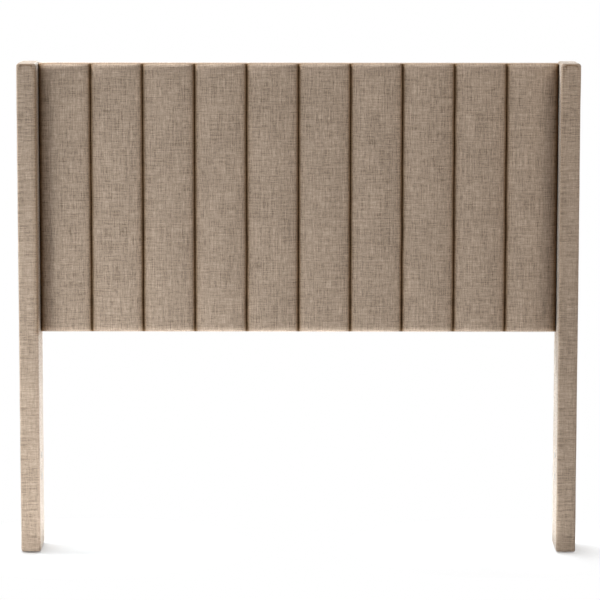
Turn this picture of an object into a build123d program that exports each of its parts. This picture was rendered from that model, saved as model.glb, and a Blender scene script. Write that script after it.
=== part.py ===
"""An upholstered headboard: a channelled panel held between two covered wings that run to the floor.

Millimetres. X runs across the bed, Y from the front to the back and Z up. The origin is on the
floor, in the middle of the width and of the depth. The front faces -Y.
"""

import os
from math import atan2, degrees

from build123d import *

# The whole headboard.
overall_width = 1651.0
overall_height = 1456.0
wing_depth = 150.0

# Cloth and the small space left round soft pieces.
cover_thickness = 1.5
soft_clearance = 0.3
fastener_clearance = 0.1

# A wing from the middle out: a ladder of timber, a hardboard skin, a thin foam wrap, the cover.
ladder_thickness = 40.0
skin_thickness = 3.2
wing_padding = 4.0
post_depth = 40.0
rung_height = 60.0
bed_rung_height = 140.0
wing_edge_radius = 9.0
foot_edge_radius = 5.0
foot_hem_width = 12.0

# Nail-on glides under each foot.
glide_drop = 3.0
glide_radius = 11.0
glide_edge_radius = 1.2
glide_nail_radius = 1.5
glide_nail_length = 16.0

# The panel between the wings.
panel_bottom = 654.0
panel_top_drop = 5.0
panel_side_gap = 0.5
board_thickness = 9.0
frame_thickness = 28.0
rail_height = 60.0
stile_width = 60.0
middle_stile_width = 45.0
middle_stile_names = ("left", "centre", "right")
back_hem_width = 34.0

# The channels: a base of foam with straight sides, then a round side and a shallow crown.
channel_count = 10
channel_base_depth = 25.0
channel_side_radius = 20.0
channel_crown = 7.0
channel_end_radius = 18.0

# The dust cover and its staples.
dust_cover_thickness = 0.8
dust_cover_inset = 7.0
staple_line_inset = 14.0
staple_pitch = 75.0
staple_crown_width = 10.0
staple_wire_width = 1.2
staple_wire_thickness = 0.6
staple_leg_length = 9.0

# Steel plates across the back of the two joints, three on each side.
plates_per_side = 3
plate_width = 80.0
plate_height = 64.0
plate_thickness = 2.5
plate_corner_radius = 8.0
plate_end_inset = 90.0
plate_hole_reach = 26.0
plate_hole_rise = 18.0

# Machine screws through the plates, and the threaded inserts that they go into.
machine_screw_radius = 3.0
machine_screw_length = 20.0
machine_head_radius = 5.25
machine_head_height = 3.3
machine_head_edge_radius = 1.6
machine_socket_radius = 2.3
machine_socket_depth = 1.8
insert_radius = 5.0
insert_length = 18.0

# Flanged threaded inserts in the legs, for a bed frame.
bed_bolt_height = 250.0
bed_bolt_spacing = 64.0
bed_bolt_radius = 4.0
bed_insert_radius = 6.0
bed_insert_length = 25.0
bed_flange_radius = 10.0
bed_flange_thickness = 1.2

# Wood screws: long ones through the rails into the stiles, short ones through the board.
frame_screw_length = 100.0
frame_screw_radius = 2.5
frame_screw_edge_distance = 10.0
board_screw_length = 28.0
board_screw_radius = 2.0
screw_head_share = 2.0
board_screws_per_rail = 6
board_screws_per_stile = 3

# How far a cutting shape runs past what it cuts.
overrun = 1.0

# Places across the width.
wing_core_thickness = ladder_thickness + 2 * skin_thickness
wing_thickness = wing_core_thickness + 2 * (wing_padding + soft_clearance + cover_thickness)
wing_x = (overall_width - wing_thickness) / 2
joint_x = overall_width / 2 - wing_thickness
panel_half_width = joint_x - panel_side_gap
frame_half_width = panel_half_width - cover_thickness - soft_clearance
channel_width = 2 * panel_half_width / channel_count

# Places from front to back. Only the plates and their screws stand behind the back plane.
hardware_depth = plate_thickness + machine_head_height
front_y = -(wing_depth + hardware_depth) / 2
back_y = front_y + wing_depth
wing_y = (front_y + back_y) / 2
cover_back_y = back_y - dust_cover_thickness
frame_back_y = cover_back_y - cover_thickness
frame_front_y = frame_back_y - frame_thickness
board_front_y = frame_front_y - board_thickness
seam_y = board_front_y - channel_base_depth
wing_wrap = wing_padding + soft_clearance + cover_thickness
core_front_y = front_y + wing_wrap
core_back_y = back_y - wing_wrap

# Heights.
core_bottom = glide_drop + cover_thickness + soft_clearance
core_top = overall_height - wing_wrap
panel_top = overall_height - panel_top_drop
frame_bottom = panel_bottom + cover_thickness + soft_clearance
frame_top = panel_top - cover_thickness - soft_clearance
stile_bottom = frame_bottom + rail_height
stile_top = frame_top - rail_height

sides = {"left": -1, "right": 1}
from_low_corner = (Align.MIN, Align.MIN, Align.MIN)
from_base = (Align.CENTER, Align.CENTER, Align.MIN)


def block(x_low, x_high, y_low, y_high, z_low, z_high):
    """A box between two opposite corners."""
    box = Box(x_high - x_low, y_high - y_low, z_high - z_low, align=from_low_corner)
    return Pos(x_low, y_low, z_low) * box


def side_block(side, x_inner, x_outer, y_low, y_high, z_low, z_high):
    """A box on one side of the headboard, given by its distances from the middle."""
    x_low, x_high = sorted((side * x_inner, side * x_outer))
    return block(x_low, x_high, y_low, y_high, z_low, z_high)


def spread(low, high, count):
    """Even places from low to high, both ends among them."""
    return [low + (high - low) * step / (count - 1) for step in range(count)]


def facing_back(x, y, z):
    """A place whose own Z points to the back."""
    return Pos(x, y, z) * Rot(-90, 0, 0)


def facing_front(x, y, z):
    """A place whose own Z points to the front."""
    return Pos(x, y, z) * Rot(90, 0, 0)


def facing_middle(side, x, y, z):
    """A place on one side whose own Z points to the middle of the headboard."""
    return Pos(side * x, y, z) * Rot(0, -90 * side, 0)


def cut(piece, *shapes):
    """The piece with the shapes taken away, one after another."""
    for shape in shapes:
        piece = piece - shape
    return piece


def all_solids(*shapes):
    """One group of separate solids."""
    return Compound(children=[solid for shape in shapes for solid in shape.solids()])


# Fasteners


def wood_screw(radius, length, grow=0.0):
    """A countersunk screw that hangs down from its flat head at zero. Grown, it is its own hole."""
    head_radius = screw_head_share * radius + grow
    shank_radius = radius + grow
    head_depth = head_radius - shank_radius
    head = Cone(shank_radius, head_radius, head_depth, align=(Align.CENTER, Align.CENTER, Align.MAX))
    shank = Pos(0, 0, -length - grow) * Cylinder(shank_radius, length + grow, align=from_base)
    return head + shank


def machine_screw():
    """A button head screw whose shank starts at zero and points down."""
    head = Cylinder(machine_head_radius, machine_head_height, align=from_base)
    head = fillet(head.edges().group_by(Axis.Z)[-1], machine_head_edge_radius)
    socket_bottom = machine_head_height - machine_socket_depth
    socket = extrude(
        Pos(0, 0, socket_bottom) * RegularPolygon(machine_socket_radius, 6),
        machine_socket_depth + overrun,
    )
    shank = Pos(0, 0, -machine_screw_length) * Cylinder(
        machine_screw_radius, machine_screw_length, align=from_base
    )
    return (head - socket) + shank


def threaded_insert():
    """A plain sleeve whose mouth is at zero and whose length hangs down."""
    sleeve = Cylinder(insert_radius, insert_length, align=from_base)
    bore = Cylinder(machine_screw_radius + fastener_clearance, insert_length, align=from_base)
    return Pos(0, 0, -insert_length) * (sleeve - bore)


def insert_hole():
    """The blind hole for an insert, with its mouth a little above zero."""
    depth = insert_length + overrun
    return Pos(0, 0, -insert_length) * Cylinder(
        insert_radius + fastener_clearance, depth, align=from_base
    )


def bed_insert():
    """A flanged insert whose flange lies on zero, with its sleeve hanging down."""
    sleeve_length = bed_insert_length + bed_flange_thickness
    sleeve = Pos(0, 0, -bed_insert_length) * Cylinder(
        bed_insert_radius, sleeve_length, align=from_base
    )
    flange = Cylinder(bed_flange_radius, bed_flange_thickness, align=from_base)
    bore = Pos(0, 0, -bed_insert_length) * Cylinder(bed_bolt_radius, sleeve_length, align=from_base)
    return sleeve + flange - bore


def bed_insert_hole():
    """The hole for a bed insert, blind in the timber and open at the cover."""
    depth = bed_insert_length + overrun
    return Pos(0, 0, -bed_insert_length) * Cylinder(
        bed_insert_radius + fastener_clearance, depth, align=from_base
    )


# Places that several pieces share.


def plate_heights():
    """The heights of the joining plates' middles, evenly up the panel."""
    return spread(panel_bottom + plate_end_inset, panel_top - plate_end_inset, plates_per_side)


def screw_heights():
    """The heights of the plates' screws, two rows to a plate."""
    rows = (-plate_hole_rise, plate_hole_rise)
    return [height + row for height in plate_heights() for row in rows]


def bed_bolt_heights():
    """The heights of the two bed frame inserts in a leg."""
    return [bed_bolt_height - bed_bolt_spacing / 2, bed_bolt_height + bed_bolt_spacing / 2]


def wing_screw_x():
    """How far from the middle the plates' outer screws are."""
    return joint_x + plate_hole_reach


def panel_screw_x():
    """How far from the middle the plates' inner screws are."""
    return joint_x - plate_hole_reach


def screw_hole(x, z):
    """A loose hole for a plate's screw through the layers at the back."""
    depth = machine_screw_length + 2 * overrun
    hole = Cylinder(machine_screw_radius + soft_clearance, depth, align=from_base)
    return facing_front(x, back_y + plate_thickness + overrun, z) * hole


def bed_holes(side):
    """The two bed frame holes in one leg."""
    return [
        facing_middle(side, joint_x, wing_y, height) * bed_insert_hole()
        for height in bed_bolt_heights()
    ]


# The wings


def rounded_case(width, depth, height, edge_radius, foot_radius):
    """A box on its base with round upright and top edges and a smaller round at the foot."""
    case = Box(width, depth, height, align=from_base)
    levels = case.edges().group_by(Axis.Z)
    case = fillet(levels[1] + levels[2], edge_radius)
    return fillet(case.edges().group_by(Axis.Z)[0], foot_radius)


def wing_case(inset, foot_inset):
    """The rounded outer shape of a wing, drawn in all round by an inset."""
    bottom = glide_drop + foot_inset
    case = rounded_case(
        wing_thickness - 2 * inset,
        wing_depth - 2 * inset,
        overall_height - inset - bottom,
        wing_edge_radius - inset,
        foot_edge_radius - inset,
    )
    return Pos(0, wing_y, bottom) * case


def wing_cover(side):
    """The cloth of a wing, turned in under the foot and left open there."""
    opening = block(
        foot_hem_width - wing_thickness / 2,
        wing_thickness / 2 - foot_hem_width,
        front_y + foot_hem_width,
        back_y - foot_hem_width,
        0,
        core_bottom,
    )
    cover = wing_case(0, 0) - wing_case(cover_thickness, cover_thickness) - opening
    cover = Pos(side * wing_x, 0, 0) * cover
    screws = [screw_hole(side * wing_screw_x(), height) for height in screw_heights()]
    return cut(cover, *screws, *bed_holes(side))


def wing_core(side):
    """The outer shape of the timber inside a wing."""
    inner = wing_x - wing_core_thickness / 2
    outer = wing_x + wing_core_thickness / 2
    return side_block(side, inner, outer, core_front_y, core_back_y, core_bottom, core_top)


def wing_foam(side):
    """The thin foam wrap of a wing, open at the foot."""
    inset = cover_thickness + soft_clearance
    wrap = Pos(side * wing_x, 0, 0) * wing_case(inset, inset)
    screws = [screw_hole(side * wing_screw_x(), height) for height in screw_heights()]
    return cut(wrap, wing_core(side), *screws, *bed_holes(side))


def wing_skin(side, inner):
    """A hardboard skin, on the inner or the outer face of a wing's ladder."""
    reach = -1 if inner else 1
    near = wing_x + reach * ladder_thickness / 2
    far = near + reach * skin_thickness
    low, high = sorted((near, far))
    skin = side_block(side, low, high, core_front_y, core_back_y, core_bottom, core_top)
    return cut(skin, *bed_holes(side)) if inner else skin


def ladder_block(side, y_low, y_high, z_low, z_high):
    """A timber of a wing's ladder, as thick as the ladder."""
    inner = wing_x - ladder_thickness / 2
    outer = wing_x + ladder_thickness / 2
    return side_block(side, inner, outer, y_low, y_high, z_low, z_high)


def glide_places(side):
    """Where the two glides of a foot are: under the middle of each post."""
    return [
        (side * wing_x, core_front_y + post_depth / 2),
        (side * wing_x, core_back_y - post_depth / 2),
    ]


def glide_nail_holes(side):
    """The holes that the glides' nails make in the posts."""
    hole = Cylinder(
        glide_nail_radius + fastener_clearance,
        glide_nail_length + fastener_clearance,
        align=from_base,
    )
    return [Pos(x, y, core_bottom) * hole for x, y in glide_places(side)]


def front_post(side):
    """The front timber of a wing, from the foot to the top."""
    post = ladder_block(side, core_front_y, core_front_y + post_depth, core_bottom, core_top)
    return cut(post, *glide_nail_holes(side))


def back_post(side):
    """The back timber of a wing, with the inserts' holes for the joining plates."""
    post = ladder_block(side, core_back_y - post_depth, core_back_y, core_bottom, core_top)
    holes = [
        facing_back(side * wing_screw_x(), core_back_y, height) * insert_hole()
        for height in screw_heights()
    ]
    return cut(post, *glide_nail_holes(side), *holes)


def rungs(side):
    """The short timbers between the posts: foot, bed frame, panel foot, middle and top."""
    panel_middle = (panel_bottom + panel_top) / 2
    levels = [
        (core_bottom, rung_height),
        (bed_bolt_height - bed_rung_height / 2, bed_rung_height),
        (panel_bottom, rung_height),
        (panel_middle - rung_height / 2, rung_height),
        (core_top - rung_height, rung_height),
    ]
    timbers = [
        ladder_block(
            side, core_front_y + post_depth, core_back_y - post_depth, bottom, bottom + height
        )
        for bottom, height in levels
    ]
    return all_solids(*[cut(timber, *bed_holes(side)) for timber in timbers])


def foot_glides(side):
    """The two nail-on glides of a foot, each a round pad with a nail."""
    pad = Cylinder(glide_radius, core_bottom, align=from_base)
    pad = fillet(pad.edges().group_by(Axis.Z)[0], glide_edge_radius)
    nail = Cylinder(glide_nail_radius, core_bottom + glide_nail_length, align=from_base)
    glide = pad + nail
    return all_solids(*[Pos(x, y, 0) * glide for x, y in glide_places(side)])


# The panel's frame and board


def middle_stile_places():
    """The middles of the middle stiles, spread evenly between the end stiles."""
    gap = 2 * frame_half_width / (len(middle_stile_names) + 1)
    return [gap * (step + 1) - frame_half_width for step in range(len(middle_stile_names))]


def stiles():
    """The middle and the width of every stile, from left to right."""
    end = frame_half_width - stile_width / 2
    middles = [(x, middle_stile_width) for x in middle_stile_places()]
    return [(-end, stile_width), *middles, (end, stile_width)]


def frame_screws(grow=0.0):
    """The long screws through both rails into the ends of the stiles."""
    screw = wood_screw(frame_screw_radius, frame_screw_length, grow)
    y = (frame_front_y + frame_back_y) / 2
    places = [
        x + way * (width / 2 - frame_screw_edge_distance) for x, width in stiles() for way in (-1, 1)
    ]
    down = [Pos(x, y, frame_top) * screw for x in places]
    up = [Pos(x, y, frame_bottom) * Rot(180, 0, 0) * screw for x in places]
    return all_solids(*down, *up)


def board_screw_places():
    """Where the board is screwed down: along both rails and up each stile."""
    first = frame_half_width - stile_width / 2
    rails = spread(-first, first, board_screws_per_rail)
    gap = (stile_top - stile_bottom) / (board_screws_per_stile + 1)
    heights = [stile_bottom + gap * (step + 1) for step in range(board_screws_per_stile)]
    low, high = frame_bottom + rail_height / 2, frame_top - rail_height / 2
    on_rails = [(x, z) for x in rails for z in (low, high)]
    return on_rails + [(x, z) for x, _ in stiles() for z in heights]


def board_screws(grow=0.0):
    """The short screws that hold the board to the frame, flush with the board's face."""
    screw = wood_screw(board_screw_radius, board_screw_length, grow)
    places = board_screw_places()
    return all_solids(*[facing_front(x, board_front_y, z) * screw for x, z in places])


def panel_insert_holes():
    """The holes in the end stiles for the joining plates' inserts."""
    return [
        facing_back(side * panel_screw_x(), frame_back_y, height) * insert_hole()
        for side in sides.values()
        for height in screw_heights()
    ]


def staple_places():
    """Where the staples are and which way they lie, clear of the joining plates."""
    x_line = frame_half_width - staple_line_inset
    low, high = frame_bottom + staple_line_inset, frame_top - staple_line_inset
    columns = round(2 * x_line / staple_pitch)
    rows = round((high - low) / staple_pitch)
    places = [(x, z, 0) for x in spread(-x_line, x_line, columns + 1)[1:-1] for z in (low, high)]
    reach = plate_height / 2 + staple_crown_width
    for z in spread(low, high, rows + 1):
        if all(abs(z - height) > reach for height in plate_heights()):
            places += [(side * x_line, z, 90) for side in sides.values()]
    return places


def staples(with_crowns):
    """The staples, or only their legs, which are also the slots that they make."""
    wire = staple_wire_width / 2
    half = staple_crown_width / 2
    crown = block(-half, half, -wire, wire, 0, staple_wire_thickness)
    legs = [
        block(x, x + staple_wire_thickness, -wire, wire, -staple_leg_length, 0)
        for x in (-half, half - staple_wire_thickness)
    ]
    parts = [crown + legs[0] + legs[1]] if with_crowns else legs
    return all_solids(
        *[
            facing_back(x, back_y, z) * Rot(0, 0, turn) * part
            for x, z, turn in staple_places()
            for part in parts
        ]
    )


def framed(timber):
    """A timber of the frame with every fastener's hole cut."""
    grown = fastener_clearance
    return cut(
        timber, frame_screws(grown), board_screws(grown), staples(False), *panel_insert_holes()
    )


def rail(z_low):
    """A rail across the whole frame."""
    return framed(
        block(
            -frame_half_width, frame_half_width, frame_front_y, frame_back_y, z_low, z_low + rail_height
        )
    )


def stile(x, width):
    """A stile between the rails."""
    return framed(
        block(x - width / 2, x + width / 2, frame_front_y, frame_back_y, stile_bottom, stile_top)
    )


def panel_board():
    """The plywood face that the pads are glued to."""
    board = block(
        -frame_half_width, frame_half_width, board_front_y, frame_front_y, frame_bottom, frame_top
    )
    return board - board_screws(fastener_clearance)


# The channels


def channel_front(inset):
    """The rounded front of a channel, in the middle of the width, drawn in by an inset.

    Seen from above it is a wide crown that two round sides meet smoothly. Its ends are rounded too.
    """
    side_centre = channel_width / 2 - channel_side_radius
    crown_reach = (side_centre**2 + channel_crown**2) / (2 * channel_crown)
    crown_centre_y = seam_y + crown_reach - channel_crown
    side_turn = degrees(atan2(crown_reach - channel_crown, side_centre))
    crown_turn = 180 - 2 * side_turn
    side_radius = channel_side_radius - inset
    crown_radius = crown_reach + channel_side_radius - inset
    half_width = channel_width / 2 - inset
    with BuildSketch() as plan:
        with BuildLine():
            CenterArc((-side_centre, seam_y), side_radius, 180, side_turn)
            CenterArc((0, crown_centre_y), crown_radius, 180 + side_turn, crown_turn)
            CenterArc((side_centre, seam_y), side_radius, -side_turn, side_turn)
            if inset:
                Line((half_width, seam_y), (half_width, seam_y + inset))
                Line((-half_width, seam_y), (-half_width, seam_y + inset))
            Line((-half_width, seam_y + inset), (half_width, seam_y + inset))
        make_face()
    height = panel_top - panel_bottom - 2 * inset
    front = Pos(0, 0, panel_bottom + inset) * extrude(plan.sketch, height)
    levels = front.edges().group_by(Axis.Z)
    rims = [
        edge for level in (levels[0], levels[-1]) for edge in level if edge.center().Y < seam_y + inset
    ]
    return fillet(rims, channel_end_radius - inset)


def channel(inset):
    """A whole channel, back to the board, drawn in by an inset."""
    half_width = channel_width / 2 - inset
    base = block(
        -half_width,
        half_width,
        seam_y + inset,
        board_front_y,
        panel_bottom + inset,
        panel_top - inset,
    )
    return channel_front(inset) + base


def channel_places():
    """The middles of the channels, from left to right."""
    end = panel_half_width - channel_width / 2
    return spread(-end, end, channel_count)


def panel_cover():
    """The sewn cover: round fronts, flat edges, a fold between channels and a hem at the back."""
    outer = block(
        -panel_half_width, panel_half_width, seam_y, cover_back_y, panel_bottom, panel_top
    )
    front = channel_front(0)
    fronts = [Pos(x, 0, 0) * front for x in channel_places()]
    hollow = channel(cover_thickness)
    hollows = [Pos(x, 0, 0) * hollow for x in channel_places()]
    inner_half = panel_half_width - cover_thickness
    core = block(
        -inner_half,
        inner_half,
        board_front_y,
        frame_back_y,
        panel_bottom + cover_thickness,
        panel_top - cover_thickness,
    )
    hem_half = panel_half_width - back_hem_width
    window = block(
        -hem_half,
        hem_half,
        frame_back_y - overrun,
        back_y,
        panel_bottom + back_hem_width,
        panel_top - back_hem_width,
    )
    screws = [
        screw_hole(side * panel_screw_x(), height)
        for side in sides.values()
        for height in screw_heights()
    ]
    whole = outer + fronts
    return cut(whole, *hollows, core, window, staples(False), *screws)


def dust_cover():
    """The thin black cloth over the panel's back."""
    half = panel_half_width - dust_cover_inset
    sheet = block(
        -half,
        half,
        cover_back_y,
        back_y,
        panel_bottom + dust_cover_inset,
        panel_top - dust_cover_inset,
    )
    screws = [
        screw_hole(side * panel_screw_x(), height)
        for side in sides.values()
        for height in screw_heights()
    ]
    return cut(sheet, staples(False), *screws)


# The joint between a wing and the panel


def joining_plates(side):
    """The steel plates across one joint."""
    plate = extrude(RectangleRounded(plate_width, plate_height, plate_corner_radius), plate_thickness)
    hole = Cylinder(machine_screw_radius + soft_clearance, plate_thickness, align=from_base)
    holes = [
        Pos(x, z, 0) * hole
        for x in (-plate_hole_reach, plate_hole_reach)
        for z in (-plate_hole_rise, plate_hole_rise)
    ]
    plate = cut(plate, *holes)
    return all_solids(
        *[facing_back(side * joint_x, back_y, height) * plate for height in plate_heights()]
    )


def joining_screws(side):
    """The machine screws of one joint's plates."""
    screw = machine_screw()
    return all_solids(
        *[
            facing_back(side * x, back_y + plate_thickness, height) * screw
            for x in (wing_screw_x(), panel_screw_x())
            for height in screw_heights()
        ]
    )


def plate_inserts(side):
    """The threaded inserts of one joint, in the wing's back post and in the panel's stile."""
    sleeve = threaded_insert()
    places = [(wing_screw_x(), core_back_y), (panel_screw_x(), frame_back_y)]
    return all_solids(
        *[
            facing_back(side * x, y, height) * sleeve
            for x, y in places
            for height in screw_heights()
        ]
    )


def bed_inserts(side):
    """The two flanged inserts in one leg."""
    insert = bed_insert()
    return all_solids(
        *[facing_middle(side, joint_x, wing_y, height) * insert for height in bed_bolt_heights()]
    )


def all_pieces():
    """Every piece by its name."""
    pieces = {
        "panel_board": panel_board(),
        "frame_top_rail": rail(stile_top),
        "frame_bottom_rail": rail(frame_bottom),
        "frame_screws": frame_screws(),
        "board_screws": board_screws(),
        "panel_cover": panel_cover(),
        "dust_cover": dust_cover(),
        "dust_cover_staples": staples(True),
    }
    for name, x in zip(middle_stile_names, middle_stile_places()):
        pieces[f"frame_middle_stile_{name}"] = stile(x, middle_stile_width)
    pad = channel(cover_thickness + soft_clearance)
    for number, x in enumerate(channel_places(), start=1):
        pieces[f"channel_pad_{number:02d}"] = Pos(x, 0, 0) * pad
    for name, side in sides.items():
        pieces[f"frame_{name}_stile"] = stile(
            side * (frame_half_width - stile_width / 2), stile_width
        )
        pieces[f"{name}_wing_cover"] = wing_cover(side)
        pieces[f"{name}_wing_foam"] = wing_foam(side)
        pieces[f"{name}_wing_inner_skin"] = wing_skin(side, inner=True)
        pieces[f"{name}_wing_outer_skin"] = wing_skin(side, inner=False)
        pieces[f"{name}_wing_front_post"] = front_post(side)
        pieces[f"{name}_wing_back_post"] = back_post(side)
        pieces[f"{name}_wing_rungs"] = rungs(side)
        pieces[f"{name}_foot_glides"] = foot_glides(side)
        pieces[f"{name}_joining_plates"] = joining_plates(side)
        pieces[f"{name}_joining_screws"] = joining_screws(side)
        pieces[f"{name}_plate_inserts"] = plate_inserts(side)
        pieces[f"{name}_bed_inserts"] = bed_inserts(side)
    return pieces


os.makedirs("parts", exist_ok=True)
for piece_name, piece in all_pieces().items():
    export_step(piece, f"parts/{piece_name}.step")
    print(piece_name, len(piece.solids()), round(piece.volume))
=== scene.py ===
# %% [markdown]
# # A channelled linen headboard
#
# The object is an upholstered headboard: a padded panel with ten upright channels, held between
# two cloth-covered wings that run down to the floor as legs. The timber, the steel and the fixings
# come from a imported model, which is the fixed frame of this scene. What is cloth or foam is
# modelled here, around that frame, and every finish is made here too.

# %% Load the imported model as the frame
import math

import bpy
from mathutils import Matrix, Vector


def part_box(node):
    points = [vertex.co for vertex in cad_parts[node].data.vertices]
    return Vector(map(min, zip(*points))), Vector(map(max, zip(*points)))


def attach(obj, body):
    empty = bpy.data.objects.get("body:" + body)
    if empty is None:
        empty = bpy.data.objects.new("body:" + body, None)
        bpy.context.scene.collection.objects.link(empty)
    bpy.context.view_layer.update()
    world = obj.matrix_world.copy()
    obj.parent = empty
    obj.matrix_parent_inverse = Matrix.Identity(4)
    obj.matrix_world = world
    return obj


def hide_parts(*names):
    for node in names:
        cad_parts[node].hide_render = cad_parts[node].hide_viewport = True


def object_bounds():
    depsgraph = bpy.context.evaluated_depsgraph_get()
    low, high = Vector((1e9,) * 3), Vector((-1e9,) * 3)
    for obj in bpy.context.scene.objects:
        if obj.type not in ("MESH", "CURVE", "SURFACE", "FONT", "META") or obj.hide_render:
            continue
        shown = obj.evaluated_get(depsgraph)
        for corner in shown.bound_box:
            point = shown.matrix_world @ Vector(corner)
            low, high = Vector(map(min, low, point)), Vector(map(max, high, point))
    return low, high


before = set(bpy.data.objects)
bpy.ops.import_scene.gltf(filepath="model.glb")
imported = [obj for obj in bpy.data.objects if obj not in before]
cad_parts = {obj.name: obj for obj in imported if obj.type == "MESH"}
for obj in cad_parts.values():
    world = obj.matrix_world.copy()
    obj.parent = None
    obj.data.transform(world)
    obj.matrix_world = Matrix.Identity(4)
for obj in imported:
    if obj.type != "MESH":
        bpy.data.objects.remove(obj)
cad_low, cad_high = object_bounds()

bpy.ops.object.select_all(action="DESELECT")
print(len(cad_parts), "nodes, from", tuple(cad_low), "to", tuple(cad_high))

# %% [markdown]
# ## Measures
#
# Every piece made here takes its place from the boxes of the nodes that it stands for, so nothing
# is fitted by eye. The panel's box gives the field of the channels, and each wing's box gives its
# own cover. Only the sizes of things that the frame doesn't hold, such as a seam's width, are
# written as values of their own, in metres.

# %% Measure the panel and the wings
MM = 0.001
panel_low, panel_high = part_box("panel_cover")
pad_back_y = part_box("channel_pad_01")[1].y
dust_low, dust_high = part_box("dust_cover")
channel_count = sum(name.startswith("channel_pad_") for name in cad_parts)
panel_width = panel_high.x - panel_low.x
panel_height = panel_high.z - panel_low.z
panel_middle_z = (panel_high.z + panel_low.z) / 2
channel_width = panel_width / channel_count
side_round = 20 * MM
crown_rise = 7 * MM
seam_y = panel_low.y + side_round + crown_rise
print(channel_count, "channels of", round(channel_width, 4), "m, seam at", round(seam_y, 4))

# %% [markdown]
# ## Working in edit mode from a script
#
# Modelling by hand is mostly two things: picking some points, edges or faces, and giving an
# operator to them. With no mouse, picking is done by a rule about place instead, such as "every
# point at this height". The small helpers below do the picking, so that each later cell reads as
# a list of modelling steps.

# %% Helpers for picking and for finishing a piece
NEAR = 0.05 * MM


def show_only(piece):
    """Makes one piece the selected and active one, in object mode."""
    if bpy.context.object and bpy.context.object.mode != "OBJECT":
        bpy.ops.object.mode_set(mode="OBJECT")
    bpy.ops.object.select_all(action="DESELECT")
    piece.select_set(True)
    bpy.context.view_layer.objects.active = piece


def pick(piece, kind, wanted):
    """Goes to edit mode with the points, edges or faces picked that `wanted` says yes to."""
    show_only(piece)
    bpy.ops.object.mode_set(mode="EDIT")
    bpy.ops.mesh.select_mode(type=kind)
    bpy.ops.mesh.select_all(action="DESELECT")
    bpy.ops.object.mode_set(mode="OBJECT")
    mesh = piece.data
    place = [vertex.co for vertex in mesh.vertices]
    if kind == "VERT":
        for vertex in mesh.vertices:
            vertex.select = bool(wanted(vertex.co))
    elif kind == "EDGE":
        for edge in mesh.edges:
            edge.select = bool(wanted(*[place[index] for index in edge.vertices]))
    else:
        for face in mesh.polygons:
            face.select = bool(wanted(face.center, face.normal))
    bpy.ops.object.mode_set(mode="EDIT")


def pick_all(piece):
    """Goes to edit mode with everything picked."""
    show_only(piece)
    bpy.ops.object.mode_set(mode="EDIT")
    bpy.ops.mesh.select_mode(type="VERT")
    bpy.ops.mesh.select_all(action="SELECT")


def slice_at(piece, places, direction):
    """Cuts new edges right across a piece at each place along a direction."""
    for place in places:
        pick_all(piece)
        point = [place * share for share in direction]
        bpy.ops.mesh.bisect(plane_co=point, plane_no=direction)


def named(name):
    """Names the piece that an operator has just added, and applies its place."""
    piece = bpy.context.object
    piece.name = piece.data.name = name
    bpy.ops.object.transform_apply(location=True, rotation=True, scale=True)
    return piece


def apply_modifier(piece, kind, **settings):
    """Adds a modifier, sets it and applies it at once."""
    show_only(piece)
    modifier = piece.modifiers.new(kind.lower(), kind)
    for key, value in settings.items():
        setattr(modifier, key, value)
    bpy.ops.object.modifier_apply(modifier=modifier.name)


def smooth(piece, crease_degrees=50):
    """Smooth shading, but for edges sharper than the crease."""
    show_only(piece)
    bpy.ops.object.shade_smooth_by_angle(angle=math.radians(crease_degrees))


def bell(distance, reach):
    """A share that is one at no distance, about a third at the reach, and soon nothing beyond."""
    return math.exp(-(distance / reach) ** 2)


def hand_over(piece, material, slot, *nodes):
    """Gives a finished piece its material and its body, and hides the nodes that it stands for."""
    show_only(piece)
    piece.data.materials.clear()
    piece.data.materials.append(material)
    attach(piece, "root")
    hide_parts(*nodes)
    print(piece.name, len(piece.data.polygons), "faces, stands for", len(nodes), "nodes")


# %% [markdown]
# ## Finishes: how a procedural cloth is built
#
# A woven cloth shows three things at three sizes. Closest are the threads themselves, under a
# millimetre wide, going over and under each other. Then come slubs, thick or pale stretches of
# yarn a few centimetres long, which make the streaks that a linen look lives on. Last is a slow
# drift of tone over the whole cloth. Each is a node or two, and all read the piece's own UV map,
# whose unit is a metre of cloth, so the threads follow the surface round its corners.
#
# The helpers below add a node and set its values in one line, and join nodes in a chain of sums,
# because a material is mostly that.

# %% Helpers for node materials


def new_material(name):
    """An empty node material with its shader joined to the output."""
    material = bpy.data.materials.new(name)
    material.use_nodes = True
    tree = material.node_tree
    tree.nodes.clear()
    shader = tree.nodes.new("ShaderNodeBsdfPrincipled")
    output = tree.nodes.new("ShaderNodeOutputMaterial")
    tree.links.new(shader.outputs[0], output.inputs[0])
    return material, tree, shader


def node(tree, kind, inputs=None, **settings):
    """Adds a node. A value that is an output socket is linked, and any other is set."""
    made = tree.nodes.new("ShaderNode" + kind)
    for key, value in settings.items():
        setattr(made, key, value)
    for key, value in (inputs or {}).items():
        if isinstance(value, bpy.types.NodeSocket):
            tree.links.new(value, made.inputs[key])
        else:
            made.inputs[key].default_value = value
    return made


def maths(tree, operation, first, second=0.0):
    """One sum on two values or sockets."""
    return node(tree, "Math", {0: first, 1: second}, operation=operation).outputs[0]


def stretched_noise(tree, place, across, along, seed):
    """Noise drawn out along one way of the cloth: its grain is `across` by `along` metres."""
    mapping = node(tree, "Mapping", {"Vector": place, "Location": (seed, seed, 0),
                                     "Scale": (1 / across, 1 / along, 1)}, vector_type="POINT")
    noise = node(tree, "TexNoise", {"Vector": mapping.outputs[0], "Scale": 1.0, "Detail": 2.0,
                                    "Roughness": 0.6}, noise_dimensions="2D")
    return noise.outputs[0]


def with_noise(tree, tone, noise, strength):
    """A tone with some noise added, up and down alike."""
    part = maths(tree, "MULTIPLY", maths(tree, "SUBTRACT", noise, 0.5), strength)
    return maths(tree, "ADD", tone, part)
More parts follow.
